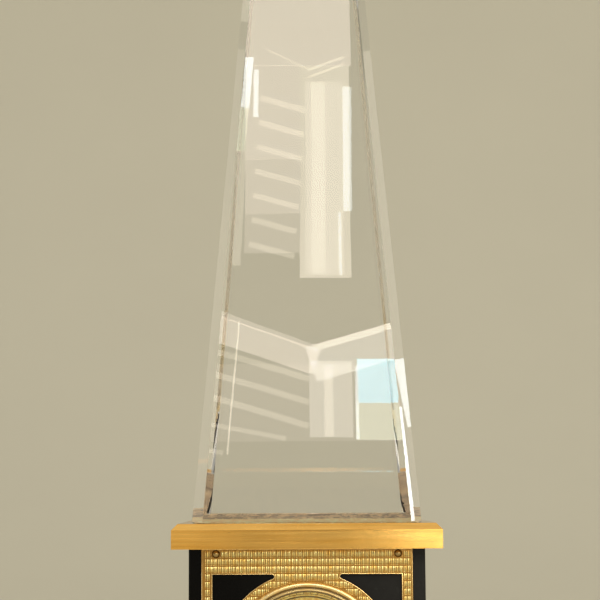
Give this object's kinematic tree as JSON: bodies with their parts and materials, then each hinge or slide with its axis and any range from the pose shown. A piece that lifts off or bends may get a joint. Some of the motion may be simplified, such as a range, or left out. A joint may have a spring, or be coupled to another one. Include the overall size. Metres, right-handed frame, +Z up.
{
  "type": "desk clock",
  "caption": "Desk clock: a tall clear obelisk on a gilt cap slab over a square black die with a gilt fret front, round dial, key-wound movement and round hinged back door.",
  "frame": {"origin": "middle of the footprint, on the surface that the clock stands on", "axes": "+Z up through the obelisk's tip, the dial faces -Y, +X to the right as seen from the front"},
  "size_m": [0.114, 0.114, 0.4709],
  "materials": {
    "clear_acrylic": "polished",
    "adhesive": "satin",
    "brushed_gilt": "satin",
    "woven_gilt": "satin",
    "polished_gilt": "polished",
    "dial_gilt": "satin",
    "movement_brass": "satin",
    "black_lacquer": "gloss",
    "black_enamel": "gloss",
    "crystal_clear": "polished",
    "steel": "satin",
    "blued_steel": "polished",
    "foot_rubber": "matte"
  },
  "bodies": {
    "frame": {"obelisk": "clear_acrylic", "adhesive_film": "adhesive", "cap_slab": "brushed_gilt", "base_slab": "brushed_gilt", "rubber_feet": "foot_rubber", "tie_bolts": "steel", "case_block": "black_lacquer", "front_panel": "woven_gilt", "panel_pins": "polished_gilt", "bezel_ring": "polished_gilt", "crystal": "crystal_clear", "dial_spacer": "polished_gilt", "dial_plate": "dial_gilt", "hour_markers": "black_enamel", "mounting_ring": "steel", "mounting_screws": "steel", "front_plate": "movement_brass", "pillars": "movement_brass", "plate_screws": "steel", "back_plate": "movement_brass", "pillar_screws": "blued_steel", "dust_band": "crystal_clear", "hairspring": "blued_steel", "balance_cock": "movement_brass", "cock_screw": "blued_steel", "click_screw": "blued_steel", "back_ring": "brushed_gilt", "ring_screws": "steel", "hinge_pin": "steel"},
    "minute_group": {"centre_arbor": "steel", "cannon_pinion": "steel", "minute_hand": "black_enamel", "hand_nut": "polished_gilt", "setting_knob": "polished_gilt"},
    "hour_group": {"hour_wheel": "movement_brass", "hour_hand": "black_enamel"},
    "minute_wheel": {"minute_wheel": "movement_brass"},
    "barrel_group": {"barrel": "movement_brass", "barrel_cover": "movement_brass", "mainspring": "blued_steel"},
    "winding_group": {"barrel_arbor": "steel", "ratchet_wheel": "steel", "winding_key": "polished_gilt"},
    "click": {"click": "steel"},
    "intermediate_wheel": {"intermediate_wheel": "movement_brass"},
    "centre_wheel": {"centre_wheel": "movement_brass"},
    "third_wheel": {"third_wheel": "movement_brass"},
    "fourth_wheel": {"fourth_wheel": "movement_brass"},
    "escape_wheel": {"escape_wheel": "movement_brass"},
    "pallet_lever": {"pallet_lever": "steel"},
    "balance_wheel": {"balance_wheel": "movement_brass"},
    "regulator_index": {"regulator_index": "steel"},
    "back_door": {"back_door": "brushed_gilt"}
  },
  "joints": [
    {"name": "minute_turn", "type": "hinge", "parent": "frame", "child": "minute_group", "pos_m": [0, -0.044, 0.06185], "axis": [0, 1, 0], "continuous": true},
    {"name": "hour_turn", "type": "hinge", "parent": "frame", "child": "hour_group", "pos_m": [0, -0.047, 0.06185], "axis": [0, 1, 0], "continuous": true},
    {"name": "minute_wheel_turn", "type": "hinge", "parent": "frame", "child": "minute_wheel", "pos_m": [0.0048, -0.044, 0.05354], "axis": [0, 1, 0], "continuous": true},
    {"name": "fourth_turn", "type": "hinge", "parent": "frame", "child": "fourth_wheel", "pos_m": [0.00555, -0.032, 0.07292], "axis": [0, 1, 0], "continuous": true},
    {"name": "third_turn", "type": "hinge", "parent": "frame", "child": "third_wheel", "pos_m": [0.00846, -0.032, 0.06493], "axis": [0, 1, 0], "continuous": true},
    {"name": "centre_turn", "type": "hinge", "parent": "frame", "child": "centre_wheel", "pos_m": [0, -0.028, 0.06185], "axis": [0, 1, 0], "continuous": true},
    {"name": "intermediate_turn", "type": "hinge", "parent": "frame", "child": "intermediate_wheel", "pos_m": [-0.00045, -0.032, 0.05106], "axis": [0, 1, 0], "continuous": true},
    {"name": "barrel_turn", "type": "hinge", "parent": "frame", "child": "barrel_group", "pos_m": [-0.014, -0.034, 0.05675], "axis": [0, 1, 0], "continuous": true},
    {"name": "escape_turn", "type": "hinge", "parent": "frame", "child": "escape_wheel", "pos_m": [-0.0016, -0.032, 0.07418], "axis": [0, 1, 0], "continuous": true},
    {"name": "balance_swing", "type": "hinge", "parent": "frame", "child": "balance_wheel", "pos_m": [-0.01078, -0.024, 0.07948], "axis": [0, 1, 0], "range_deg": [-200, 200], "stiffness_Nm_per_rad": 0.000012},
    {"name": "lever_rock", "type": "hinge", "parent": "frame", "child": "pallet_lever", "pos_m": [-0.00558, -0.03, 0.07648], "axis": [0, 1, 0], "range_deg": [-6.2, 6.2]},
    {"name": "key_wind", "type": "hinge", "parent": "frame", "child": "winding_group", "pos_m": [-0.014, -0.02, 0.05675], "axis": [0, 1, 0], "continuous": true},
    {"name": "click_lift", "type": "hinge", "parent": "frame", "child": "click", "pos_m": [-0.0094, -0.02, 0.04879], "axis": [0, 1, 0], "range_deg": [0, 12], "stiffness_Nm_per_rad": 0.0002, "springref_deg": -5.73},
    {"name": "index_swing", "type": "hinge", "parent": "frame", "child": "regulator_index", "pos_m": [-0.01078, -0.014, 0.07948], "axis": [0, 1, 0], "range_deg": [-15, 15]},
    {"name": "door_open", "type": "hinge", "parent": "frame", "child": "back_door", "pos_m": [-0.045, 0.0526, 0.06185], "axis": [0, 0, 1], "range_deg": [0, 105]}
  ],
  "couplings": [
    {"joint": "hour_turn", "follows": "minute_turn", "ratio": 0.083333},
    {"joint": "minute_wheel_turn", "follows": "minute_turn", "ratio": -0.33333},
    {"joint": "third_turn", "follows": "fourth_turn", "ratio": -0.13333},
    {"joint": "centre_turn", "follows": "fourth_turn", "ratio": 0.016667},
    {"joint": "intermediate_turn", "follows": "fourth_turn", "ratio": -0.0033333},
    {"joint": "barrel_turn", "follows": "fourth_turn", "ratio": 0.00055556},
    {"joint": "escape_turn", "follows": "fourth_turn", "ratio": -10},
    {"joint": "lever_rock", "follows": "balance_swing", "ratio": -0.03}
  ]
}
